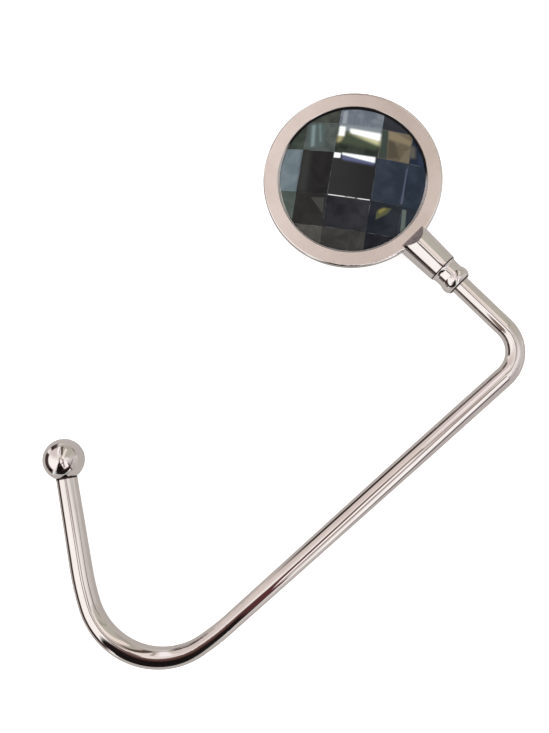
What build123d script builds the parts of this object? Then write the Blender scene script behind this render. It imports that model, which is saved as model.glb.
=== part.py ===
from build123d import *
from math import cos, radians, sin, sqrt, tan
import os

# Purse hook for a table edge. A round medallion with a faceted stone stands on a rubber
# pad, and a bent hook swivels in the barrel on the medallion's rim.
# Millimetres and degrees. Origin: centre of the pad's underside. +Z: out of the ring's
# face. +X: along the swivel axis, from the medallion to the hook. At rest the hook lies
# level on the -Y side, so that its ball touches the same surface as the pad.

# Medallion: polished ring, stone seat and pad recess, all set in from the rim
rim_radius = 21.0
rim_edge_round = 0.5
rim_thickness = 1.5
rim_flare = 1.2
ring_face_width = 3.4
bezel_bevel = 0.5
base_inset = 1.6
base_edge_round = 0.4
seat_depth = 3.0
floor_thickness = 0.95
face_over_swivel = 2.25

# Stone: round chequerboard cut, glued over its mirror backing
stone_clearance = 0.1
table_facet_share = 0.3
middle_facet_share = 0.432
middle_facet_tilt = 9.5
outer_facet_tilt = 15.5
stone_turn = 36.0
foil_thickness = 0.1
stone_glue = 0.2
glue_margin = 0.3

# Pad under the medallion
pad_proud = 2.2
pad_wall = 1.9
pad_clearance = 0.2
pad_edge_chamfer = 0.3
pad_tape = 0.2

# Swivel fits
running_clearance = 0.06
washer_play = 0.06
groove_play = 0.06
axial_play = 0.05

# Stem of the hook, with its groove and retaining ring
stem_radius = 2.25
groove_depth = 0.5
stem_land = 0.8
stem_end_chamfer = 0.3
ring_thickness = 0.5
ring_wall = 0.9
ring_clearance = 0.24
ring_gap_angle = 70.0

# Spring washer and thrust washer inside the barrel
spring_wire = 0.2
spring_height = 0.55
washer_thickness = 0.3

# Barrel on the rim, bored for the ferrule
barrel_reach = 8.75
barrel_mouth_wall = 0.67
barrel_taper = 0.36
barrel_mouth_chamfer = 0.15
barrel_root_overlap = 1.1
barrel_root_chamfer = 1.1
scarf_inset = 1.45
scarf_slope = 39.0
stem_end_gap = 0.4

# Ferrule pressed into the barrel: spigot, collar, cove, neck and bead around the stem
spigot_length = 3.2
spigot_chamfer = 0.2
collar_step = 0.1
collar_land = 0.15
neck_at = 0.95
neck_wall = 0.91
crown_at = 4.0
crown_wall = 1.23
bead_back_radius = 2.8
bead_back_sweep = 29.0
bead_nose_radius = 1.85
bead_nose_sweep = 57.0

# Hook: centreline from the barrel's mouth to the ball's centre
stem_reach = 19.65
corner_bend_radius = 7.85
corner_angle = 92.75
shank_length = 84.4
easing_radius = 60.0
easing_angle = 8.0
bend_radius = 17.45
bend_angle = 104.9
tip_length = 25.7

# Hook: radius of the rod along it, as shares of the stem's
corner_rod_share = 0.987
shank_top_share = 1.049
shank_end_share = 0.911
bend_entry_share = 0.969
bend_rod_share = 1.156
tip_rod_share = 1.093

# Hook: how far along a stretch the rod changes
corner_middle_share = 0.5
shank_even_share = 0.33
bend_swell_share = 0.4

# Ball on the tip
ball_radius = 4.9
ball_spigot_radius = 1.5
ball_spigot_length = 3.0
ball_spigot_clearance = 0.02
ball_hole_spare = 0.3

# Cuts run past the faces that they leave by this much
overrun = 1.0

# Radii of the medallion
base_radius = rim_radius - base_inset
recess_radius = base_radius - pad_wall
pad_radius = recess_radius - pad_clearance
bezel_radius = rim_radius - ring_face_width
seat_radius = bezel_radius - bezel_bevel
stone_radius = seat_radius - stone_clearance

# Facets of the stone: edges from the middle out, and the dome's fall from table to girdle
table_edge = table_facet_share * stone_radius
middle_facet_width = middle_facet_share * stone_radius
middle_edge = table_edge + middle_facet_width
middle_fall = middle_facet_width * tan(radians(middle_facet_tilt))
outer_fall = (stone_radius - middle_edge) * tan(radians(outer_facet_tilt))

# Heights over the surface that the pad and the ball stand on
swivel_height = ball_radius
face_height = swivel_height + face_over_swivel
girdle_height = face_height - bezel_bevel
table_height = girdle_height + middle_fall + outer_fall
seat_height = face_height - seat_depth
stone_base_height = seat_height + stone_glue + foil_thickness
recess_height = seat_height - floor_thickness
base_height = pad_proud

# Radii of the hook's rod
corner_rod_radius = corner_rod_share * stem_radius
shank_top_radius = shank_top_share * stem_radius
shank_end_radius = shank_end_share * stem_radius
bend_entry_radius = bend_entry_share * stem_radius
bend_rod_radius = bend_rod_share * stem_radius
tip_rod_radius = tip_rod_share * stem_radius

# Radii of the swivel, from the stem outwards
bearing_radius = stem_radius + running_clearance
groove_radius = stem_radius - groove_depth
ring_inner_radius = groove_radius + groove_play
ring_outer_radius = ring_inner_radius + ring_wall
barrel_bore_radius = ring_outer_radius + ring_clearance
washer_radius = barrel_bore_radius - washer_play
barrel_mouth_radius = barrel_bore_radius + barrel_mouth_wall
barrel_root_radius = barrel_mouth_radius + barrel_taper
collar_radius = barrel_mouth_radius - collar_step
neck_radius = bearing_radius + neck_wall
crown_radius = bearing_radius + crown_wall

# The swivel stack along X, from the barrel's mouth towards the medallion
barrel_root = base_radius - barrel_root_overlap
barrel_mouth = rim_radius + barrel_reach
corner_start = barrel_mouth + stem_reach
ferrule_inner = barrel_mouth - spigot_length
spring_top = ferrule_inner - axial_play
spring_foot = spring_top - spring_height
washer_top = spring_foot - axial_play
washer_foot = washer_top - washer_thickness
groove_top = washer_foot - axial_play
ring_foot = groove_top - ring_thickness
groove_foot = ring_foot - groove_play
stem_end = groove_foot - stem_land
bore_floor = stem_end - stem_end_gap


def half_outline(*points):
    """Face in the XZ plane from points of (distance along X, height along Z)."""
    return Plane.XZ * make_face(Polyline(*points, close=True))


def turned_on_swivel(face):
    """Solid turned about the swivel axis from a face drawn as (x, radius)."""
    return Pos(0, 0, swivel_height) * revolve(face, Axis.X)


def nearest_corner(face, x, z):
    """The corner of a face in the XZ plane that lies at (x, z)."""
    return face.vertices().sort_by_distance((x, 0, z))[0]


def medallion_disc():
    """Ring, seat for the stone and recess for the pad, turned about the Z axis."""
    flare_top = face_height - rim_thickness
    flare_foot = flare_top - rim_flare
    face = half_outline(
        (0, recess_height),
        (recess_radius, recess_height),
        (recess_radius, base_height),
        (base_radius, base_height),
        (base_radius, flare_foot),
        (rim_radius, flare_top),
        (rim_radius, face_height),
        (bezel_radius, face_height),
        (seat_radius, face_height - bezel_bevel),
        (seat_radius, seat_height),
        (0, seat_height),
    )
    rim_corners = [
        nearest_corner(face, rim_radius, face_height),
        nearest_corner(face, rim_radius, flare_top),
    ]
    face = fillet(rim_corners, rim_edge_round)
    face = fillet(nearest_corner(face, base_radius, base_height), base_edge_round)
    return revolve(face, Axis.Z)


def barrel():
    """Tapered barrel with its top cut off at a slope where it meets the ring's face."""
    tube = turned_on_swivel(
        half_outline(
            (barrel_root, 0),
            (barrel_root, barrel_root_radius - barrel_root_chamfer),
            (barrel_root + barrel_root_chamfer, barrel_root_radius),
            (barrel_mouth - barrel_mouth_chamfer, barrel_mouth_radius),
            (barrel_mouth, barrel_mouth_radius - barrel_mouth_chamfer),
            (barrel_mouth, 0),
        )
    )
    scarf_foot = (rim_radius - scarf_inset, 0, face_height)
    scarf_normal = (-sin(radians(scarf_slope)), 0, cos(radians(scarf_slope)))
    above_scarf = Plane(origin=scarf_foot, z_dir=scarf_normal) * Box(
        2 * rim_radius,
        2 * rim_radius,
        rim_radius,
        align=(Align.CENTER, Align.CENTER, Align.MIN),
    )
    return tube - above_scarf


def medallion_body():
    """Die-cast medallion: disc and barrel in one piece, bored for the swivel."""
    bore = turned_on_swivel(
        half_outline(
            (bore_floor, 0),
            (bore_floor, barrel_bore_radius),
            (barrel_mouth + overrun, barrel_bore_radius),
            (barrel_mouth + overrun, 0),
        )
    )
    return medallion_disc() + barrel() - bore


def facet_band(index):
    """Inner edge of a band of facets, its slope, and how far that edge is below the table.

    Bands count from the middle one, 0, outwards on either side.
    """
    edges = (0, table_edge, middle_edge)
    slopes = (0, tan(radians(middle_facet_tilt)), tan(radians(outer_facet_tilt)))
    falls = (0, 0, middle_fall)
    side = -1 if index < 0 else 1
    band = abs(index)
    return side * edges[band], side * slopes[band], falls[band]


def faceted_stone():
    """Round stone whose dome is cut into a square grid of flat facets."""
    stone = Pos(0, 0, stone_base_height) * Cylinder(
        stone_radius,
        table_height - stone_base_height,
        align=(Align.CENTER, Align.CENTER, Align.MIN),
    )
    waste = Box(
        4 * stone_radius,
        4 * stone_radius,
        stone_radius,
        align=(Align.CENTER, Align.CENTER, Align.MIN),
    )
    for column in range(-2, 3):
        for row in range(-2, 3):
            if column == 0 and row == 0:
                continue
            x_edge, x_slope, x_fall = facet_band(column)
            y_edge, y_slope, y_fall = facet_band(row)
            corner = (x_edge, y_edge, table_height - x_fall - y_fall)
            stone -= Plane(origin=corner, z_dir=(x_slope, y_slope, 1)) * waste
    return Rot(0, 0, stone_turn) * stone


def stone_foil():
    """Mirror backing on the stone's flat underside."""
    return Pos(0, 0, seat_height + stone_glue) * Cylinder(
        stone_radius,
        foil_thickness,
        align=(Align.CENTER, Align.CENTER, Align.MIN),
    )


def stone_adhesive():
    """Glue film between the backing and the floor of the seat."""
    return Pos(0, 0, seat_height) * Cylinder(
        stone_radius - glue_margin,
        stone_glue,
        align=(Align.CENTER, Align.CENTER, Align.MIN),
    )


def grip_pad():
    """Rubber disc that stands proud of the medallion's underside."""
    face = half_outline(
        (0, 0),
        (pad_radius - pad_edge_chamfer, 0),
        (pad_radius, pad_edge_chamfer),
        (pad_radius, recess_height - pad_tape),
        (0, recess_height - pad_tape),
    )
    return revolve(face, Axis.Z)


def pad_adhesive():
    """Tape between the pad and the floor of its recess."""
    return Pos(0, 0, recess_height - pad_tape) * Cylinder(
        pad_radius - glue_margin,
        pad_tape,
        align=(Align.CENTER, Align.CENTER, Align.MIN),
    )


def swivel_ferrule():
    """Turned collar: spigot in the barrel, then cove, neck and bead around the stem."""
    crown_x = barrel_mouth + crown_at
    back = CenterArc(
        (crown_x, crown_radius - bead_back_radius),
        bead_back_radius,
        90 + bead_back_sweep,
        -bead_back_sweep,
    )
    nose = CenterArc(
        (crown_x, crown_radius - bead_nose_radius),
        bead_nose_radius,
        90,
        -bead_nose_sweep,
    )
    land_end = (barrel_mouth + collar_land, collar_radius)
    neck = Line(back @ 0, (barrel_mouth + neck_at, neck_radius))
    cove = TangentArc(neck @ 1, land_end, tangent=neck % 1)
    nose_end = nose @ 1
    rest = Polyline(
        nose_end,
        (nose_end.X, bearing_radius),
        (ferrule_inner, bearing_radius),
        (ferrule_inner, barrel_bore_radius - spigot_chamfer),
        (ferrule_inner + spigot_chamfer, barrel_bore_radius),
        (barrel_mouth, barrel_bore_radius),
        (barrel_mouth, collar_radius),
        land_end,
    )
    face = Plane.XZ * make_face(cove + neck + back + nose + rest)
    return turned_on_swivel(face)


def friction_spring():
    """Dished spring washer that presses on the ferrule's inner face."""
    return turned_on_swivel(
        half_outline(
            (spring_foot, washer_radius),
            (spring_foot + spring_wire, washer_radius),
            (spring_top, bearing_radius),
            (spring_top - spring_wire, bearing_radius),
        )
    )


def thrust_washer():
    """Flat washer between the spring and the retaining ring."""
    return turned_on_swivel(
        half_outline(
            (washer_foot, bearing_radius),
            (washer_foot, washer_radius),
            (washer_top, washer_radius),
            (washer_top, bearing_radius),
        )
    )


def retaining_ring():
    """Open spring ring seated in the stem's groove."""
    ring = turned_on_swivel(
        half_outline(
            (ring_foot, ring_inner_radius),
            (ring_foot, ring_outer_radius),
            (groove_top, ring_outer_radius),
            (groove_top, ring_inner_radius),
        )
    )
    half_gap = radians(ring_gap_angle / 2)
    reach = ring_outer_radius + overrun
    wedge = make_face(
        Polyline(
            (0, 0),
            (reach * sin(half_gap), reach * cos(half_gap)),
            (-reach * sin(half_gap), reach * cos(half_gap)),
            close=True,
        )
    )
    cut_foot = (ring_foot - overrun, 0, swivel_height)
    gap_plane = Plane(origin=cut_foot, x_dir=(0, 1, 0), z_dir=(1, 0, 0))
    gap = extrude(gap_plane * wedge, ring_thickness + 2 * overrun, dir=(1, 0, 0))
    return ring - gap


def tapered_stretch(edge, stations):
    """Rod along one edge of the centreline, with its radius given at shares of the edge."""
    rings = [Plane(origin=edge @ at, z_dir=edge % at) * Circle(radius) for at, radius in stations]
    return sweep(sections=rings, path=edge, multisection=True)


def stem():
    """Straight stem with the groove for the retaining ring, up to the corner."""
    return turned_on_swivel(
        half_outline(
            (stem_end, 0),
            (stem_end, stem_radius - stem_end_chamfer),
            (stem_end + stem_end_chamfer, stem_radius),
            (groove_foot, stem_radius),
            (groove_foot, groove_radius),
            (groove_top, groove_radius),
            (groove_top, stem_radius),
            (corner_start, stem_radius),
            (corner_start, 0),
        )
    )


def ball_seat_distance():
    """Distance from the ball's centre to the flat where the rod's end face seats."""
    return sqrt(ball_radius**2 - tip_rod_radius**2)


def centreline():
    """Edges of the hook's centreline from the corner to the tip's end face."""
    level = (corner_start, 0, swivel_height)
    corner = JernArc(level, (1, 0, 0), corner_bend_radius, -corner_angle)
    shank = Line(corner @ 1, corner @ 1 + (corner % 1) * shank_length)
    ease_in = JernArc(shank @ 1, shank % 1, easing_radius, -easing_angle)
    bend = JernArc(ease_in @ 1, ease_in % 1, bend_radius, -bend_angle)
    ease_out = JernArc(bend @ 1, bend % 1, easing_radius, -easing_angle)
    visible_tip = tip_length - ball_seat_distance()
    tip = Line(ease_out @ 1, ease_out @ 1 + (ease_out % 1) * visible_tip)
    return corner, shank, ease_in, bend, ease_out, tip


def hook_arm():
    """Bent rod: stem, corner, shank, wide bend and tip, with the spigot for the ball."""
    corner, shank, ease_in, bend, ease_out, tip = centreline()
    arm = stem()
    waist = (corner_middle_share, corner_rod_radius)
    arm += tapered_stretch(corner, [(0, stem_radius), waist, (1, shank_top_radius)])
    even_end = shank @ shank_even_share
    even = Line(shank @ 0, even_end)
    taper = Line(even_end, shank @ 1)
    arm += tapered_stretch(even, [(0, shank_top_radius), (1, shank_top_radius)])
    arm += tapered_stretch(taper, [(0, shank_top_radius), (1, shank_end_radius)])
    arm += tapered_stretch(ease_in, [(0, shank_end_radius), (1, bend_entry_radius)])
    swell = [(0, bend_entry_radius), (bend_swell_share, bend_rod_radius), (1, bend_rod_radius)]
    arm += tapered_stretch(bend, swell)
    arm += tapered_stretch(ease_out, [(0, bend_rod_radius), (1, bend_rod_radius)])
    arm += tapered_stretch(tip, [(0, bend_rod_radius), (1, tip_rod_radius)])
    spigot_plane = Plane(origin=tip @ 1, z_dir=tip % 1)
    arm += spigot_plane * extrude(Circle(ball_spigot_radius), ball_spigot_length)
    return arm


def ball_tip():
    """Ball with a flat seat and a blind hole for the rod's spigot."""
    tip = centreline()[-1]
    towards_ball = tip % 1
    seat = Plane(origin=tip @ 1, z_dir=towards_ball)
    centre = (tip @ 1) + towards_ball * ball_seat_distance()
    hole = extrude(
        Circle(ball_spigot_radius + ball_spigot_clearance),
        ball_spigot_length + ball_hole_spare,
    )
    trim = Box(
        2 * ball_radius,
        2 * ball_radius,
        ball_radius,
        align=(Align.CENTER, Align.CENTER, Align.MAX),
    )
    return Pos(centre.X, centre.Y, centre.Z) * Sphere(ball_radius) - seat * trim - seat * hole


parts = {
    "medallion_body": medallion_body,
    "faceted_stone": faceted_stone,
    "stone_foil": stone_foil,
    "stone_adhesive": stone_adhesive,
    "grip_pad": grip_pad,
    "pad_adhesive": pad_adhesive,
    "swivel_ferrule": swivel_ferrule,
    "friction_spring": friction_spring,
    "thrust_washer": thrust_washer,
    "retaining_ring": retaining_ring,
    "hook_arm": hook_arm,
    "ball_tip": ball_tip,
}

os.makedirs("parts", exist_ok=True)
for name, make in parts.items():
    export_step(make(), os.path.join("parts", name + ".step"))
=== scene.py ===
from math import cos, hypot, radians, sin, tan

import bpy
from mathutils import Matrix, Vector


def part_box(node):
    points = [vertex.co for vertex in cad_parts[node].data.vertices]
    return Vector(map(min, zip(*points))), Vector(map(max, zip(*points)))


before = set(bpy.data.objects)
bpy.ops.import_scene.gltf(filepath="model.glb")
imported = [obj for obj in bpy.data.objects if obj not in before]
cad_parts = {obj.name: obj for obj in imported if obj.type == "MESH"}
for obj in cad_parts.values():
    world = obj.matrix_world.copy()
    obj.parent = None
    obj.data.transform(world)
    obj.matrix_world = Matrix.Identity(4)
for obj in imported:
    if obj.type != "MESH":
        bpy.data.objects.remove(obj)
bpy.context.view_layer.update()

MM = 0.001
scene = bpy.context.scene


def node_box(node):
    """Lowest and highest corner of a node, in millimetres."""
    low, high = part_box(node)
    return Vector(low) / MM, Vector(high) / MM


# Places on the object in millimetres, read from the frame or worked out from it
RIM_RADIUS = -node_box("medallion_body")[0].x
BEZEL_RADIUS = RIM_RADIUS - 3.4
BARREL_MOUTH = node_box("medallion_body")[1].x
FERRULE_END = node_box("swivel_ferrule")[1].x
BALL_LOW, BALL_HIGH = node_box("ball_tip")
BALL_CENTRE = (BALL_LOW + BALL_HIGH) / 2
BALL_RADIUS = max(BALL_HIGH - BALL_LOW) / 2
FACE_HEIGHT = BALL_CENTRE.z + 2.25
SCARF_SLOPE = radians(39.0)

# The stone's cut: rows of facets either side of the middle one, and how steep each row is
STONE_RADIUS = node_box("faceted_stone")[1].x
STONE_TURN = radians(36.0)
TABLE_EDGE = 0.3 * STONE_RADIUS
MIDDLE_EDGE = TABLE_EDGE + 0.432 * STONE_RADIUS
MIDDLE_SLOPE = tan(radians(9.5))
OUTER_SLOPE = tan(radians(15.5))

# Where the photograph's camera stands. RIGHT and UP are the picture's directions on the object
IMAGE_HEIGHT = 733
FOCAL_PX = 800.0
SENSOR_MM = 24.0
HEADING = radians(-45.55)
RIGHT = Vector((cos(HEADING), -sin(HEADING), 0.0))
UP = Vector((sin(HEADING), cos(HEADING), 0.0))
CAMERA_PITCH = -0.0937688
CAMERA_YAW = 0.0819581
CAMERA_TO_RING = Vector((17.91612, -43.75231, 187.80289))
BARREL_OFFSET = 0.92

X_AXIS = (1.0, 0.0, 0.0)
Y_AXIS = (0.0, 1.0, 0.0)
Z_AXIS = (0.0, 0.0, 1.0)


def srgb(r, g, b):
    """Linear colour of an 8-bit screen colour."""
    out = []
    for v in (r, g, b):
        v = v / 255.0
        out.append(v / 12.92 if v <= 0.04045 else ((v + 0.055) / 1.055) ** 2.4)
    return (out[0], out[1], out[2], 1.0)


WHITE = (1.0, 1.0, 1.0, 1.0)
# painted shadow in the joint between the barrel's mouth and the ferrule
JOINT_SHADOW = srgb(84, 76, 74)


class Nodes:
    """Short hand for building a node tree."""

    def __init__(self, tree, keep=False):
        self.tree = tree
        if not keep:
            tree.nodes.clear()

    def add(self, kind, **settings):
        node = self.tree.nodes.new(kind)
        for key, value in settings.items():
            setattr(node, key, value)
        return node

    def put(self, socket, value):
        if isinstance(value, bpy.types.NodeSocket):
            self.tree.links.new(value, socket)
        elif value is not None:
            socket.default_value = value

    def math(self, operation, a, b=None, c=None, clamp=False):
        node = self.add("ShaderNodeMath", operation=operation, use_clamp=clamp)
        for socket, value in zip(node.inputs, (a, b, c)):
            self.put(socket, value)
        return node.outputs[0]

    def times(self, *values):
        out = values[0]
        for value in values[1:]:
            out = self.math("MULTIPLY", out, value)
        return out

    def most(self, *values):
        out = values[0]
        for value in values[1:]:
            out = self.math("MAXIMUM", out, value)
        return out

    def away(self, value, place):
        """How far a value is from a place, either way."""
        return self.math("ABSOLUTE", self.math("SUBTRACT", value, place))

    def reach(self, a, b):
        """Length of the vector (a, b)."""
        return self.math("SQRT", self.math("ADD", self.times(a, a), self.times(b, b)))

    def vector(self, operation, a, b, output="Vector"):
        node = self.add("ShaderNodeVectorMath", operation=operation)
        self.put(node.inputs[0], a)
        self.put(node.inputs[1], b)
        return node.outputs[output]

    def dot(self, a, b):
        return self.vector("DOT_PRODUCT", a, b, "Value")

    def distance(self, a, b):
        return self.vector("DISTANCE", a, b, "Value")

    def step(self, value, low, high):
        """0 below low, 1 above high, smooth between; low above high turns it round."""
        node = self.add("ShaderNodeMapRange", interpolation_type="SMOOTHSTEP")
        self.put(node.inputs["Value"], value)
        if low < high:
            ends = (low, high, 0.0, 1.0)
        else:
            ends = (high, low, 1.0, 0.0)
        for name, end in zip(("From Min", "From Max", "To Min", "To Max"), ends):
            node.inputs[name].default_value = end
        return node.outputs["Result"]

    def window(self, value, start, full, fading, end):
        """1 from full to fading, 0 before start and after end."""
        return self.times(self.step(value, start, full), self.step(value, end, fading))

    def mix(self, factor, a, b):
        node = self.add("ShaderNodeMix", data_type="RGBA")
        self.put(node.inputs["Factor"], factor)
        self.put(node.inputs[6], a)
        self.put(node.inputs[7], b)
        return node.outputs[2]

    def noise(self, vector, scale, detail=2.0, roughness=0.5, distortion=0.0):
        node = self.add("ShaderNodeTexNoise")
        self.put(node.inputs["Vector"], vector)
        node.inputs["Scale"].default_value = scale
        node.inputs["Detail"].default_value = detail
        node.inputs["Roughness"].default_value = roughness
        node.inputs["Distortion"].default_value = distortion
        return node.outputs["Fac"]

    def ellipse(self, p, q, centre, radii, turn, edge):
        """1 inside an ellipse in the (p, q) plane, 0 outside, soft over edge."""
        dp = self.math("SUBTRACT", p, centre[0])
        dq = self.math("SUBTRACT", q, centre[1])
        ct, st = cos(radians(turn)), sin(radians(turn))
        along = self.math("ADD", self.times(dp, ct / radii[0]), self.times(dq, st / radii[0]))
        across = self.math("ADD", self.times(dp, -st / radii[1]), self.times(dq, ct / radii[1]))
        return self.step(self.reach(along, across), 1.0 + edge, 1.0 - edge)

    def streak(self, p, q, start, end, halves, soft):
        """1 along a band from start to end in the (p, q) plane, with a half width at each end."""
        run = (end[0] - start[0], end[1] - start[1])
        square = run[0] ** 2 + run[1] ** 2
        dp = self.math("SUBTRACT", p, start[0])
        dq = self.math("SUBTRACT", q, start[1])
        part_p = self.times(dp, run[0] / square)
        part_q = self.times(dq, run[1] / square)
        along = self.math("ADD", part_p, part_q, clamp=True)
        off_p = self.math("SUBTRACT", dp, self.times(along, run[0]))
        off_q = self.math("SUBTRACT", dq, self.times(along, run[1]))
        half = self.math("MULTIPLY_ADD", along, halves[1] - halves[0], halves[0])
        return self.step(self.math("DIVIDE", self.reach(off_p, off_q), half), 1.0 + soft, 1.0 - soft)

    def outline(self, x, y, points, soft):
        """1 inside a convex outline, corners in counter-clockwise order."""
        inside = None
        for k, (x0, y0) in enumerate(points):
            x1, y1 = points[(k + 1) % len(points)]
            span = hypot(x1 - x0, y1 - y0)
            ex, ey = (y1 - y0) / span, (x0 - x1) / span
            off = self.math("MULTIPLY_ADD", y, ey, -(x0 * ex + y0 * ey))
            off = self.math("MULTIPLY_ADD", x, ex, off)
            side = self.step(off, soft, -soft)
            inside = side if inside is None else self.times(inside, side)
        return inside

    def bump(self, height, strength, depth_mm):
        node = self.add("ShaderNodeBump")
        node.inputs["Strength"].default_value = strength
        node.inputs["Distance"].default_value = depth_mm * MM
        self.put(node.inputs["Height"], height)
        return node.outputs["Normal"]

    def light(self, kind, colour, strength=1.0):
        """Emission in a material, or background in a world."""
        node = self.add(kind)
        self.put(node.inputs["Color"], colour)
        node.inputs["Strength"].default_value = strength
        return node.outputs[0]

    def blend(self, factor, first, second):
        """Two shaders, the second where the factor is 1."""
        node = self.add("ShaderNodeMixShader")
        for socket, value in zip(node.inputs, (factor, first, second)):
            self.put(socket, value)
        return node.outputs[0]

    def mirrored(self, rays):
        """1 for a ray that comes from polished metal or through glass."""
        return self.most(rays.outputs["Is Glossy Ray"], rays.outputs["Is Transmission Ray"])

    def output(self, shader, kind="ShaderNodeOutputMaterial"):
        self.put(self.add(kind).inputs["Surface"], shader)


def new_material(name):
    """Empty material and the helper for its nodes."""
    material = bpy.data.materials.new(name)
    material.use_nodes = True
    return material, Nodes(material.node_tree)


# Studio: what the polished metal mirrors. Its places are (p, q), the direction's share along
# RIGHT and UP over one plus its share along Z, so that (0, 0) is straight up and 1 the horizon

# broad areas: centre, radii, turn in degrees, softness, tone, strength
STUDIO_AREAS = (
    ((-0.38, -0.12), (0.46, 0.30), 15.0, 0.45, (255, 251, 248), 1.0),
    ((-0.46, 0.50), (0.54, 0.28), 135.0, 0.45, (214, 202, 197), 1.0),
    ((0.64, 0.60), (0.72, 0.46), 42.0, 0.12, (182, 178, 168), 1.0),
    ((0.14, 0.86), (0.50, 0.30), 0.0, 0.45, (170, 164, 156), 0.9),
    ((0.33, -0.02), (0.27, 0.13), 0.0, 0.5, (238, 233, 231), 1.0),
    ((0.80, -0.05), (0.34, 0.34), 0.0, 0.5, (198, 194, 191), 1.0),
    ((0.74, -0.58), (0.60, 0.34), -48.0, 0.30, (182, 176, 176), 1.0),
    ((-0.05, -0.90), (0.60, 0.34), 0.0, 0.35, (180, 180, 178), 1.0),
)

# narrow bands: start, end, half width at each end, softness, tone, strength
STUDIO_BANDS = (
    ((0.25, -0.10), (0.46, -0.65), (0.058, 0.074), 0.4, (255, 252, 251), 1.0),
    ((0.42, -0.22), (0.66, -0.80), (0.032, 0.044), 0.5, (84, 76, 76), 1.0),
    ((0.128, 0.01), (0.152, -0.16), (0.030, 0.030), 0.5, (140, 125, 120), 1.0),
    ((0.152, -0.16), (0.190, -0.38), (0.030, 0.030), 0.5, (134, 118, 113), 1.0),
    ((0.13, 0.09), (0.16, 0.21), (0.044, 0.046), 0.4, (244, 234, 226), 1.0),
    ((0.16, 0.21), (0.235, 0.60), (0.046, 0.060), 0.4, (236, 224, 215), 1.0),
    ((0.02, 0.06), (0.06, 0.02), (0.030, 0.030), 0.6, (150, 136, 128), 0.9),
    ((-0.030, 0.11), (-0.045, 0.03), (0.012, 0.020), 0.6, (118, 102, 96), 1.0),
    ((-0.045, 0.03), (-0.03, -0.12), (0.020, 0.032), 0.5, (92, 70, 66), 1.0),
    ((0.025, 0.09), (0.06, 0.28), (0.022, 0.036), 0.5, (156, 141, 133), 0.9),
    ((0.06, 0.28), (-0.02, 0.74), (0.040, 0.070), 0.45, (84, 72, 62), 1.0),
    ((-0.13, 0.26), (-0.20, 0.70), (0.040, 0.050), 0.5, (250, 244, 246), 1.0),
    ((-0.06, 0.30), (-0.10, 0.66), (0.014, 0.020), 0.6, (150, 138, 130), 0.8),
    ((0.10, 0.34), (0.16, 0.66), (0.012, 0.020), 0.6, (176, 168, 156), 0.8),
    ((0.27, 0.20), (0.60, 0.52), (0.014, 0.020), 0.6, (150, 148, 132), 0.7),
    ((-0.03, -0.09), (-0.06, -0.30), (0.018, 0.090), 0.4, (100, 72, 66), 1.0),
    ((-0.03, -0.24), (-0.04, -0.66), (0.080, 0.300), 0.25, (20, 17, 17), 1.0),
)


def studio_tones(n):
    """The whole studio: open sky of the tent, areas, bands, table level and the dark room."""
    direction = n.add("ShaderNodeTexCoord").outputs["Generated"]
    lift = n.most(n.math("ADD", n.dot(direction, Z_AXIS), 1.0), 0.05)
    p = n.math("DIVIDE", n.dot(direction, RIGHT), lift)
    q = n.math("DIVIDE", n.dot(direction, UP), lift)
    wobble = n.times(n.math("SUBTRACT", n.noise(direction, 5.0, 3.0), 0.5), 0.03)
    tone = srgb(248, 241, 237)
    for centre, radii, turn, soft, colour, strength in STUDIO_AREAS:
        area = n.ellipse(p, q, centre, radii, turn, soft)
        tone = n.mix(n.times(area, strength), tone, srgb(*colour))
    wavy_p = n.math("ADD", p, wobble)
    wavy_q = n.math("SUBTRACT", q, wobble)
    for start, end, halves, soft, colour, strength in STUDIO_BANDS:
        band = n.streak(wavy_p, wavy_q, start, end, halves, soft)
        tone = n.mix(n.times(band, strength), tone, srgb(*colour))
    reach = n.reach(p, q)
    tone = table_level(n, tone, p, q, reach)
    return dark_room(n, tone, p, q, n.math("ADD", reach, wobble))


def table_level(n, tone, p, q, reach):
    """The pale floor as the metal sees it from afar, with one brighter stretch."""
    tone = n.mix(n.step(reach, 1.06, 1.22), tone, srgb(184, 178, 174))
    tone = n.mix(n.step(reach, 1.7, 3.2), tone, srgb(210, 206, 203))
    stretch = n.streak(p, q, (-0.42, -0.62), (-0.72, -0.94), (0.035, 0.06), 0.5)
    return n.mix(stretch, tone, srgb(236, 240, 238))


def dark_room(n, tone, p, q, reach):
    """Dark room beyond the tent's open left side, by azimuth from straight left."""
    around = n.math("ARCTAN2", n.times(q, -1.0), n.times(p, -1.0))

    def patch(azimuths, reaches):
        sector = n.window(around, *(radians(azimuth) for azimuth in azimuths))
        return n.times(sector, n.window(reach, *reaches))

    upper = patch((-74, -60, -42, -36), (0.66, 0.80, 1.14, 1.30))
    upper_tone = n.mix(n.step(around, radians(-56), radians(-46)), srgb(74, 65, 61), srgb(50, 41, 38))
    lower = patch((-26, -18, 47, 52), (0.66, 0.78, 1.12, 1.28))
    doorway = patch((31, 36, 41, 45), (0.70, 0.78, 1.06, 1.18))
    tone = n.mix(upper, tone, upper_tone)
    tone = n.mix(lower, tone, srgb(62, 50, 47))
    return n.mix(doorway, tone, srgb(24, 19, 18))


def build_world():
    """White all round, and the drawn studio for rays that metal or glass sends out."""
    world = bpy.data.worlds.new("studio")
    scene.world = world
    world.use_nodes = True
    n = Nodes(world.node_tree)
    white = n.light("ShaderNodeBackground", WHITE)
    studio = n.light("ShaderNodeBackground", studio_tones(n))
    shown = n.blend(n.mirrored(n.add("ShaderNodeLightPath")), white, studio)
    n.output(shown, "ShaderNodeOutputWorld")


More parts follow.
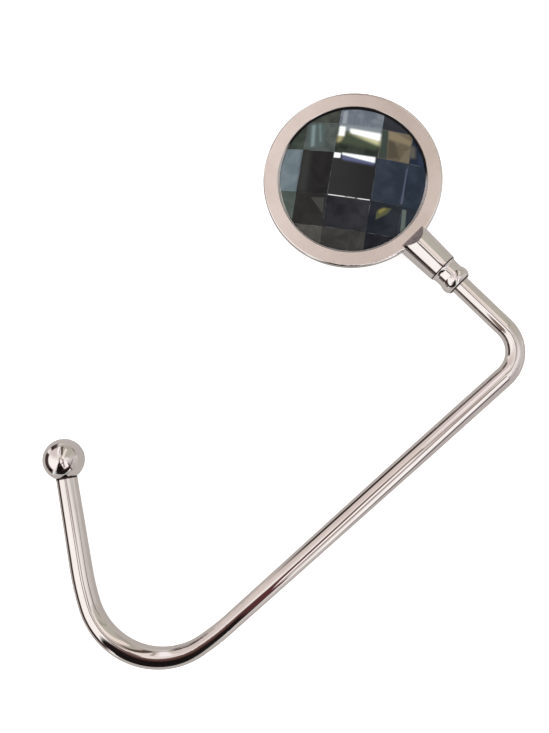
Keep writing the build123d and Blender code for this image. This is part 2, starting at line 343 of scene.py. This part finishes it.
def floor_paper():
    """White paper; metal sees it as warm grey close by, which is painted shade, and looks past it further
    off.
    """
    material, n = new_material("pale_floor")
    grain = n.noise(n.add("ShaderNodeNewGeometry").outputs["Position"], 900.0, 3.0)
    rays = n.add("ShaderNodeLightPath")
    paper = n.add("ShaderNodeBsdfDiffuse")
    n.put(paper.inputs["Color"], n.mix(grain, (0.78, 0.78, 0.78, 1.0), (0.82, 0.82, 0.82, 1.0)))
    lit = n.add("ShaderNodeAddShader")
    n.put(lit.inputs[0], paper.outputs[0])
    n.put(lit.inputs[1], n.light("ShaderNodeEmission", WHITE, 0.62))
    seen = n.blend(rays.outputs["Is Camera Ray"], paper.outputs[0], lit.outputs[0])
    # painted shade: the paper close by, greyer as the metal sees it
    close_shade = n.light("ShaderNodeEmission", srgb(176, 170, 165))
    far_off = n.add("ShaderNodeBsdfTransparent").outputs[0]
    distance = n.step(rays.outputs["Ray Length"], 4.0 * MM, 14.0 * MM)
    in_metal = n.blend(distance, close_shade, far_off)
    n.output(n.blend(n.mirrored(rays), seen, in_metal))
    return material


def build_floor():
    half = 3.0
    corners = [(-half, -half, 0), (half, -half, 0), (half, half, 0), (-half, half, 0)]
    mesh = bpy.data.meshes.new("floor")
    mesh.from_pydata(corners, [], [(0, 1, 2, 3)])
    mesh.materials.append(floor_paper())
    floor = bpy.data.objects.new("floor", mesh)
    scene.collection.objects.link(floor)
    floor.location.z = -0.02 * MM


# Dark things over the lower part, which only mirrored rays see: the black and brown in the shank
# and the bend. Outlines and tips are millimetres along RIGHT and UP from the medallion's centre.
# name, height, outline, softness of the edge, tip, and by the distance from the tip: from, to,
# two tones
CARDS = (
    ("dark_card", 37.0, (
        (-27, -97), (-36, -100), (-47, -106), (-62, -111), (-74, -119), (-97, -142), (-118, -166),
        (-122, -197), (-155, -245), (-250, -388), (-330, -600), (-10, -600), (-10, -280),
        (-6, -200), (4, -162), (16, -146), (13, -136), (0, -124), (-10, -116), (-15, -107),
        (-21, -100),
    ), 2.5, (-45.0, -100.0), (
        (0, 3, (94, 66, 62), (114, 92, 86)),
        (13, 28, (22, 18, 17), (30, 25, 24)),
    )),
    ("wine_edge", 36.5, (
        (16, -60.5), (10, -54), (-3, -69.5), (-12, -82), (-17, -90), (-25, -97), (-27, -101),
        (-26, -110), (-18, -124), (-6, -136), (6, -150), (16, -147), (13, -136), (0, -124),
        (-10, -114), (-13, -105), (-10, -99), (-4, -89), (3, -75.5),
    ), 1.6, (13.0, -57.0), (
        (0, 3, (150, 138, 130), (140, 128, 120)),
        (8, 18, (104, 88, 82), (96, 80, 74)),
        (28, 42, (78, 46, 48), (98, 58, 60)),
    )),
    ("dark_arm", 146.0, (
        (-26, -91), (-90, -157), (-80, -167), (-16, -101),
    ), 4.0, (-18.0, -92.0), (
        (0, 8, (130, 108, 102), (118, 96, 90)),
        (20, 60, (92, 70, 66), (108, 86, 80)),
    )),
)


def in_air(place, height):
    """Point in metres over a place given along RIGHT and UP."""
    return (RIGHT * place[0] + UP * place[1]) * MM + Vector((0.0, 0.0, height * MM))


def card_mesh(name, height, outline, soft):
    """Flat outline in three rings, with an attribute that fades it out over the outer two."""
    points = []
    for ring in (0.7, -0.3, -1.3):
        for k, corner in enumerate(outline):
            before, after = Vector(outline[k - 1]), Vector(outline[(k + 1) % len(outline)])
            run = (after - before).normalized()
            points.append(Vector(corner) + Vector((run.y, -run.x)) * soft * ring)
    size = len(outline)
    faces = [tuple(range(2 * size, 3 * size))]
    for start in (0, size):
        for k in range(size):
            k2 = (k + 1) % size
            faces.append((start + k, start + k2, start + size + k2, start + size + k))
    mesh = bpy.data.meshes.new(name)
    mesh.from_pydata([tuple(in_air(point, height)) for point in points], [], faces)
    cover = mesh.attributes.new("cover", "FLOAT", "POINT")
    for k in range(3 * size):
        cover.data[k].value = (0.0, 0.6, 1.0)[k // size]
    return mesh


def card_material(name, tip, tones):
    """Patchy tones that change with the distance from the tip."""
    material, n = new_material(name)
    where = n.add("ShaderNodeNewGeometry").outputs["Position"]
    away = n.math("DIVIDE", n.distance(where, tip), MM)
    patches = n.step(n.noise(where, 26.0, 3.0, 0.6, 0.5), 0.35, 0.65)
    tone = srgb(*tones[0][2])
    for near, far, first, second in tones:
        tone = n.mix(n.step(away, near, far), tone, n.mix(patches, srgb(*first), srgb(*second)))
    clear = n.add("ShaderNodeBsdfTransparent").outputs[0]
    edge = n.add("ShaderNodeAttribute", attribute_name="cover").outputs["Fac"]
    n.output(n.blend(n.step(edge, 0.05, 0.95), clear, n.light("ShaderNodeEmission", tone)))
    return material


def build_cards():
    for name, height, outline, soft, tip, tones in CARDS:
        mesh = card_mesh(name, height, outline, soft)
        mesh.materials.append(card_material(name, in_air(tip, height), tones))
        card = bpy.data.objects.new(name, mesh)
        scene.collection.objects.link(card)
        card.visible_camera = False
        card.visible_diffuse = False
        card.visible_shadow = False


def build_camera():
    """Camera from the fitted pose, in which the ring's face has x right, y down and z away."""
    turn = Matrix.Rotation(CAMERA_PITCH, 3, "X") @ Matrix.Rotation(CAMERA_YAW, 3, "Y")
    back = turn.transposed()

    def to_object(v):
        return RIGHT * v.x - UP * v.y - Vector(Z_AXIS) * v.z

    right, down, away = (to_object(back @ Vector(axis)) for axis in (X_AXIS, Y_AXIS, Z_AXIS))
    eye = to_object(-(back @ CAMERA_TO_RING))
    # half of the barrel's offset from the ring's centre in the photograph is taken as perspective
    place = (eye + Vector((0.0, -0.5 * BARREL_OFFSET, FACE_HEIGHT))) * MM
    data = bpy.data.cameras.new("camera")
    data.sensor_fit = "VERTICAL"
    data.sensor_height = SENSOR_MM
    data.sensor_width = SENSOR_MM
    data.lens = FOCAL_PX / IMAGE_HEIGHT * SENSOR_MM
    data.clip_start = 0.001
    data.clip_end = 20.0
    data.dof.use_dof = False
    camera = bpy.data.objects.new("camera", data)
    axes = Matrix((right, -down, -away)).transposed()
    camera.matrix_world = Matrix.Translation(place) @ axes.to_4x4()
    scene.collection.objects.link(camera)
    scene.camera = camera


def build_lamp():
    data = bpy.data.lights.new("soft_key", "AREA")
    data.shape = "DISK"
    data.size = 0.5
    data.energy = 1.2
    data.color = (1.0, 0.985, 0.97)
    lamp = bpy.data.objects.new("soft_key", data)
    lamp.location = -0.25 * RIGHT + 0.2 * UP + Vector((0.0, 0.0, 0.6))
    lamp.rotation_euler = (-lamp.location).to_track_quat("-Z", "Y").to_euler()
    lamp.visible_glossy = False
    lamp.visible_transmission = False
    scene.collection.objects.link(lamp)


# Materials

def metal(name, light, dark, roughness, ripple):
    """Polished plated metal with faint tint changes, hairlines and a slightly wavy surface."""
    material, n = new_material(name)
    shader = n.add("ShaderNodeBsdfPrincipled")
    shader.inputs["Metallic"].default_value = 1.0
    where = n.add("ShaderNodeTexCoord").outputs["Object"]
    cloud = n.noise(where, 120.0, 3.0, 0.6)
    n.put(shader.inputs["Base Color"], n.mix(n.step(cloud, 0.35, 0.70), light, dark))
    fine = n.noise(where, 2600.0, 2.0, 0.6)
    n.put(shader.inputs["Roughness"], n.math("MULTIPLY_ADD", fine, roughness, roughness * 0.6))
    n.put(shader.inputs["Normal"], n.bump(n.noise(where, 260.0, 2.0, 0.5), ripple, 0.02))
    n.output(shader.outputs[0])
    return material


def plain(name, light, dark, scale, roughness, metallic=0.0):
    """Duller material with grain in its tone, its gloss and its surface."""
    material, n = new_material(name)
    shader = n.add("ShaderNodeBsdfPrincipled")
    shader.inputs["Metallic"].default_value = metallic
    grain = n.noise(n.add("ShaderNodeTexCoord").outputs["Object"], scale, 4.0, 0.6)
    n.put(shader.inputs["Base Color"], n.mix(grain, light, dark))
    n.put(shader.inputs["Roughness"], n.math("MULTIPLY_ADD", grain, 0.15, roughness - 0.07))
    n.put(shader.inputs["Normal"], n.bump(grain, 0.4, 0.02))
    n.output(shader.outputs[0])
    return material


def more_nodes(material):
    """Node helper and main shader of a material that is already built."""
    n = Nodes(material.node_tree, keep=True)
    shader = next(node for node in n.tree.nodes if node.type == "BSDF_PRINCIPLED")
    return n, shader


def tint(n, shader, amount, colour):
    """Lay a second colour over a material's own."""
    own = shader.inputs["Base Color"].links[0].from_socket
    n.put(shader.inputs["Base Color"], n.mix(amount, own, colour))


def dull(n, shader, amount, roughness):
    """Lay a second roughness over a material's own."""
    own = shader.inputs["Roughness"].links[0].from_socket
    kept = n.times(own, n.math("SUBTRACT", 1.0, amount))
    n.put(shader.inputs["Roughness"], n.math("ADD", kept, n.times(amount, roughness)))


def satin_face(n, shader, where, face):
    """Ring face: satin, a little pinker, with fine hairlines both ways and faint blotches."""
    hair_a = n.noise(n.vector("MULTIPLY", where, (5200.0, 500.0, 0.0)), 1.0, 2.0, 0.6)
    hair_b = n.noise(n.vector("MULTIPLY", where, (420.0, 4600.0, 0.0)), 1.0, 2.0, 0.6)
    hairs = n.most(n.step(hair_a, 0.62, 0.74), n.step(hair_b, 0.63, 0.75))
    blotch = n.step(n.noise(where, 95.0, 4.0, 0.65), 0.35, 0.7)
    pink = n.mix(blotch, srgb(255, 246, 241), srgb(247, 236, 230))
    tint(n, shader, face, n.mix(n.times(hairs, 0.4), pink, srgb(214, 200, 193)))
    dull(n, shader, face, n.math("MULTIPLY_ADD", hairs, 0.05, 0.24))


def painted_bevel_reflection(n, shader, where, bevel):
    """Bevel round the stone, with a painted reflection: dark in the upper part, pale below."""
    rise = n.dot(where, (UP + RIGHT * 0.25) / ((BEZEL_RADIUS - 0.2) * MM))
    tint(n, shader, bevel, n.mix(n.step(rise, 0.15, 0.35), srgb(252, 250, 250), srgb(52, 50, 50)))
    dull(n, shader, bevel, 0.55)


def scarf_cut(n, shader, where, cut):
    """Sloping cut at the barrel's root, speckled, less polished and darkened with painted shade."""
    dull(n, shader, cut, 0.35)
    flecks = n.step(n.noise(where, 2200.0, 3.0, 0.7), 0.52, 0.66)
    tint(n, shader, cut, n.mix(flecks, srgb(212, 202, 205), srgb(150, 140, 142)))


def casting():
    """Polished plate on the medallion: wall, ring face, bevel, barrel cut and barrel mouth, with painted
    shade on the wall and the cut, a painted reflection on the bevel and a painted shadow line at the mouth.
    """
    material = metal("polished_casting", srgb(250, 247, 246), srgb(245, 241, 240), 0.05, 0.1)
    n, shader = more_nodes(material)
    where = n.add("ShaderNodeTexCoord").outputs["Object"]
    normal = n.add("ShaderNodeNewGeometry").outputs["Normal"]
    x = n.dot(where, Vector(X_AXIS) / MM)
    reach = n.reach(x, n.dot(where, Vector(Y_AXIS) / MM))
    height = n.math("SUBTRACT", n.dot(where, Vector(Z_AXIS) / MM), FACE_HEIGHT)
    upward = n.dot(normal, Z_AXIS)
    onward = n.dot(normal, X_AXIS)
    # painted shade: the top of the outer wall, a little darker
    wall = n.times(n.step(upward, 0.4, 0.1), n.step(reach, RIM_RADIUS + 0.2, RIM_RADIUS))
    tint(n, shader, n.times(wall, n.step(height, -1.55, -0.75)), srgb(150, 140, 136))

    face = n.times(n.window(height, -0.07, -0.03, 0.03, 0.07), n.step(upward, 0.96, 0.985))
    satin_face(n, shader, where, face)
    # the bevel round the stone, with its painted reflection
    bevel = n.times(n.step(reach, BEZEL_RADIUS - 0.06, BEZEL_RADIUS - 0.14), n.step(height, -0.65, -0.55))
    painted_bevel_reflection(n, shader, where, n.times(bevel, n.step(upward, 0.95, 0.9)))
    # the sloping cut at the barrel's root, darkened with painted shade
    cut = n.step(n.dot(normal, (-sin(SCARF_SLOPE), 0.0, cos(SCARF_SLOPE))), 0.985, 0.995)
    scarf_cut(n, shader, where, n.times(cut, n.step(x, RIM_RADIUS - 2.5, RIM_RADIUS - 2.0)))
    # shadow line at the barrel's mouth
    beyond = n.math("SUBTRACT", x, BARREL_MOUTH)
    mouth = n.times(n.step(beyond, -0.45, -0.35), n.step(onward, 0.3, 0.5))
    tint(n, shader, n.most(n.step(beyond, -0.09, -0.05), mouth), JOINT_SHADOW)
    return material


def collar():
    """The same plate on the ferrule, with painted shadow in the joint to the barrel and at its far edge."""
    material = metal("polished_collar", srgb(252, 248, 247), srgb(247, 242, 241), 0.08, 0.06)
    n, shader = more_nodes(material)
    x = n.dot(n.add("ShaderNodeTexCoord").outputs["Object"], Vector(X_AXIS) / MM)
    onward = n.dot(n.add("ShaderNodeNewGeometry").outputs["Normal"], X_AXIS)
    # painted shadow in the joint to the barrel
    tint(n, shader, n.step(x, BARREL_MOUTH + 0.17, BARREL_MOUTH + 0.09), JOINT_SHADOW)
    # painted shadow at the far edge, where the ferrule meets the rod
    far_edge_shadow = n.times(n.step(onward, 0.60, 0.74), n.step(x, FERRULE_END - 1.3, FERRULE_END - 0.9))
    tint(n, shader, far_edge_shadow, srgb(70, 62, 61))
    return material


def rod():
    """The same plate on the rod, with the dark line where the ball sits on it."""
    material = metal("polished_rod", srgb(251, 246, 244), srgb(245, 239, 237), 0.03, 0.25)
    n, shader = more_nodes(material)
    away = n.distance(n.add("ShaderNodeTexCoord").outputs["Object"], BALL_CENTRE * MM)
    joint = n.step(away, (BALL_RADIUS + 0.42) * MM, (BALL_RADIUS + 0.3) * MM)
    tint(n, shader, joint, srgb(66, 58, 57))
    return material


# Painted reflections in the stone's facets: column and row from the middle one, and the two tones each
# drifts between
FACET_REFLECTIONS = (
    (1, 0, (30, 40, 53), (42, 52, 65)),
    (2, 0, (24, 36, 50), (38, 48, 62)),
    (1, -1, (24, 29, 36), (34, 39, 46)),
    (2, -1, (16, 24, 36), (24, 32, 44)),
    (1, -2, (22, 24, 30), (32, 34, 40)),
    (0, -1, (31, 32, 37), (43, 44, 49)),
    (0, -2, (50, 50, 49), (64, 64, 62)),
    (-1, -2, (58, 58, 54), (76, 74, 69)),
    (-1, -1, (19, 19, 19), (30, 30, 29)),
    (-2, -1, (60, 70, 65), (78, 86, 81)),
    (-1, 0, (14, 15, 16), (24, 24, 25)),
    (-2, 0, (92, 106, 112), (108, 120, 126)),
    (-1, 1, (56, 64, 61), (74, 82, 78)),
    (-2, 1, (40, 48, 42), (56, 64, 58)),
    (-1, 2, (44, 49, 42), (62, 67, 60)),
    (0, 1, (38, 44, 38), (56, 62, 54)),
    (0, 2, (96, 102, 112), (118, 124, 132)),
    (1, 1, (84, 76, 60), (100, 91, 74)),
    (1, 2, (20, 26, 36), (32, 38, 46)),
    (2, 1, (14, 24, 44), (24, 34, 52)),
)

# Painted reflections inside the facets: tone, softness, and corners in millimetres along the cut
REFLECTION_PATCHES = (
    # pale streaks in the upper left, the wedge in the lower left, the dark side of the left facet
    ((70, 82, 80), 0.60, ((-11.8, 5.6), (-7.6, 6.2), (-8.4, 12.2), (-12.1, 12.0))),
    ((112, 128, 130), 0.40, ((-10.8, 6.0), (-10.0, 6.2), (-10.6, 11.8), (-11.4, 11.6))),
    ((96, 112, 113), 0.35, ((-8.9, 7.4), (-8.5, 7.6), (-9.4, 12.1), (-9.8, 12.0))),
    ((54, 54, 51), 0.15, ((-5.4, -9.6), (-5.6, -5.9), (-8.8, -6.1))),
    ((42, 43, 43), 0.90, ((-12.4, -5.0), (-10.2, -5.0), (-10.4, 5.0), (-12.4, 5.0))),
    # green, tan and brown in the upper right
    ((46, 58, 52), 0.15, ((5.2, 5.2), (7.2, 5.2), (6.6, 12.4), (5.2, 12.4))),
    ((122, 111, 88), 0.40, ((7.0, 10.4), (12.2, 9.6), (12.4, 10.8), (8.2, 12.3), (6.7, 12.3))),
    ((104, 95, 77), 0.35, ((10.2, 5.2), (12.4, 5.2), (12.4, 9.4), (11.0, 7.6))),
    ((88, 84, 78), 0.60, ((12.4, 6.6), (13.8, 6.8), (13.4, 9.6), (12.4, 9.8))),
    ((70, 64, 52), 0.40, ((7.3, 5.2), (10.0, 6.0), (8.5, 9.8), (6.9, 10.0))),
    # the curved flash, the green and violet slivers and the blue corner at the right
    ((76, 80, 56), 0.20, ((6.9, -9.2), (9.4, -7.4), (10.1, -6.1), (8.2, -6.2), (6.8, -7.3))),
    ((124, 114, 62), 0.35, ((7.6, -7.8), (9.0, -6.4), (8.5, -6.2), (7.2, -7.0))),
    ((86, 96, 90), 0.14, ((13.0, -11.2), (14.0, -10.8), (13.6, -5.8), (12.6, -5.8))),
    ((74, 78, 98), 0.14, ((11.95, -4.7), (12.4, -4.6), (12.4, 3.9), (12.1, 3.8))),
    ((36, 48, 68), 0.60, ((14.6, 5.3), (16.0, 5.0), (16.1, 7.5), (14.4, 8.5))),
    # the painted highlight bars above the middle facet, with their haze
    ((140, 146, 152), 0.30, ((-4.4, 12.6), (-3.4, 12.7), (-3.5, 16.4), (-4.5, 16.0))),
    ((124, 132, 138), 0.35, ((-4.9, 10.9), (5.0, 10.6), (5.0, 12.6), (-4.9, 12.6))),
    ((66, 74, 60), 0.80, ((-4.4, 7.6), (4.6, 7.0), (4.8, 10.0), (-4.4, 10.6))),
    ((190, 190, 150), 0.75, ((0.8, 9.2), (5.0, 8.1), (5.0, 9.8), (-2.0, 10.2))),
    ((255, 255, 250), 0.46, ((-2.1, 10.2), (1.4, 9.8), (5.0, 9.1), (5.0, 11.25), (-2.3, 11.6))),
    ((160, 152, 112), 0.55, ((-4.9, 7.7), (-4.0, 7.9), (-3.4, 9.9), (-4.8, 9.9))),
    ((244, 248, 246), 0.36, ((-4.8, 9.4), (-3.4, 9.5), (-3.4, 11.9), (-4.8, 11.9))),
    ((84, 90, 122), 0.55, ((-2.9, 3.4), (1.5, 3.2), (4.6, 3.0), (4.6, 4.2), (-3.2, 4.7))),
    ((248, 252, 255), 0.30, ((-3.2, 4.6), (-0.5, 4.32), (4.6, 3.55), (4.6, 5.1), (-3.2, 5.2))),
    ((242, 248, 250), 0.16, ((-5.0, 3.8), (-3.5, 3.9), (-3.5, 5.05), (-5.0, 5.05))),
)


def facet_tones(n, where, across, along):
    """Dark middle, and each other facet in its own two tones of painted reflection, told apart by its
    slope.
    """
    normal = n.add("ShaderNodeNewGeometry").outputs["True Normal"]
    rise = n.most(n.dot(normal, Z_AXIS), 0.3)
    slope_x = n.math("DIVIDE", n.dot(normal, across), rise)
    slope_y = n.math("DIVIDE", n.dot(normal, along), rise)
    slopes = {-2: -OUTER_SLOPE, -1: -MIDDLE_SLOPE, 0: 0.0, 1: MIDDLE_SLOPE, 2: OUTER_SLOPE}
    tone = n.mix(n.noise(where, 160.0, 3.0, 0.6), srgb(27, 27, 29), srgb(38, 38, 40))
    drift = n.step(n.noise(where, 230.0, 3.0, 0.6, 0.4), 0.36, 0.64)
    for column, row, first, second in FACET_REFLECTIONS:
        in_column = n.step(n.away(slope_x, slopes[column]), 0.05, 0.04)
        in_row = n.step(n.away(slope_y, slopes[row]), 0.05, 0.04)
        facet_tone = n.mix(drift, srgb(*first), srgb(*second))
        tone = n.mix(n.times(in_column, in_row), tone, facet_tone)
    return tone


def facet_edges(n, where, x, y, tone):
    """Patchy painted highlights on the hairlines between the facets, the one below the middle facet the
    brightest.
    """
    lines = [n.away(n.math("ABSOLUTE", v), at) for at in (TABLE_EDGE, MIDDLE_EDGE) for v in (x, y)]
    lines = n.most(*(n.step(line, 0.09, 0.027) for line in lines))
    patchy = n.noise(where, 420.0, 2.0)
    tone = n.mix(n.times(lines, n.step(patchy, 0.4, 0.8), 0.5), tone, srgb(120, 126, 130))
    # painted glint along the edge below the middle facet
    bright = n.step(n.away(y, -TABLE_EDGE), 0.16, 0.06)
    bright = n.times(bright, n.step(n.away(x, 0.0), TABLE_EDGE - 0.15, TABLE_EDGE - 0.3))
    return n.mix(n.times(bright, n.step(patchy, 0.25, 0.5)), tone, srgb(214, 216, 214))


def stone_glass():
    """Dark chequerboard glass over its mirror backing: painted reflections by facet, painted highlights on
    the hairline edges, gloss.
    """
    material, n = new_material("smoky_glass")
    where = n.add("ShaderNodeTexCoord").outputs["Object"]
    across = Vector((cos(STONE_TURN), sin(STONE_TURN), 0.0))
    along = Vector((-sin(STONE_TURN), cos(STONE_TURN), 0.0))
    x = n.dot(where, across / MM)
    y = n.dot(where, along / MM)
    tone = facet_tones(n, where, across, along)
    # lay the painted reflections over the facets
    for colour, soft, corners in REFLECTION_PATCHES:
        tone = n.mix(n.outline(x, y, corners, soft), tone, srgb(*colour))
    # fine pale specks, partly scratches and partly painted sheen
    specks = n.step(n.noise(where, 1500.0, 1.0, 0.5), 0.80, 0.86)
    tone = n.mix(n.times(specks, 0.6), tone, srgb(150, 152, 154))

    shader = n.add("ShaderNodeBsdfPrincipled")
    n.put(shader.inputs["Base Color"], facet_edges(n, where, x, y, tone))
    shader.inputs["IOR"].default_value = 1.45
    shader.inputs["Specular IOR Level"].default_value = 0.3
    scuff = n.step(n.noise(where, 700.0, 4.0, 0.7), 0.55, 0.9)
    n.put(shader.inputs["Roughness"], n.times(scuff, 0.06))
    n.output(shader.outputs[0])
    return material


def dress(node, material):
    """Give a solid its material in place of the plain one it came with."""
    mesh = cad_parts[node].data
    mesh.materials.clear()
    mesh.materials.append(material)


build_world()
build_floor()
build_cards()
build_camera()
build_lamp()

dress("hook_arm", rod())
dress("ball_tip", metal("polished_ball", srgb(252, 248, 247), srgb(247, 242, 241), 0.03, 0.25))
dress("swivel_ferrule", collar())
dress("medallion_body", casting())
dress("faceted_stone", stone_glass())
dress("stone_foil", metal("stone_backing", srgb(90, 95, 105), srgb(60, 66, 74), 0.05, 0.5))
dress("stone_adhesive", plain("dried_glue", srgb(196, 188, 164), srgb(176, 168, 146), 400.0, 0.35))
dress("grip_pad", plain("black_rubber", srgb(38, 38, 38), srgb(28, 28, 28), 1500.0, 0.7))
dress("pad_adhesive", plain("white_tape", srgb(205, 203, 196), srgb(190, 188, 180), 700.0, 0.6))
dress("friction_spring", plain("spring_steel", srgb(150, 150, 154), srgb(120, 120, 126), 2000.0, 0.35, 1.0))
dress("thrust_washer", plain("washer_brass", srgb(200, 168, 96), srgb(180, 146, 78), 2000.0, 0.35, 1.0))
dress("retaining_ring", plain("ring_steel", srgb(140, 140, 146), srgb(112, 112, 118), 2000.0, 0.35, 1.0))

scene.view_settings.view_transform = "Standard"
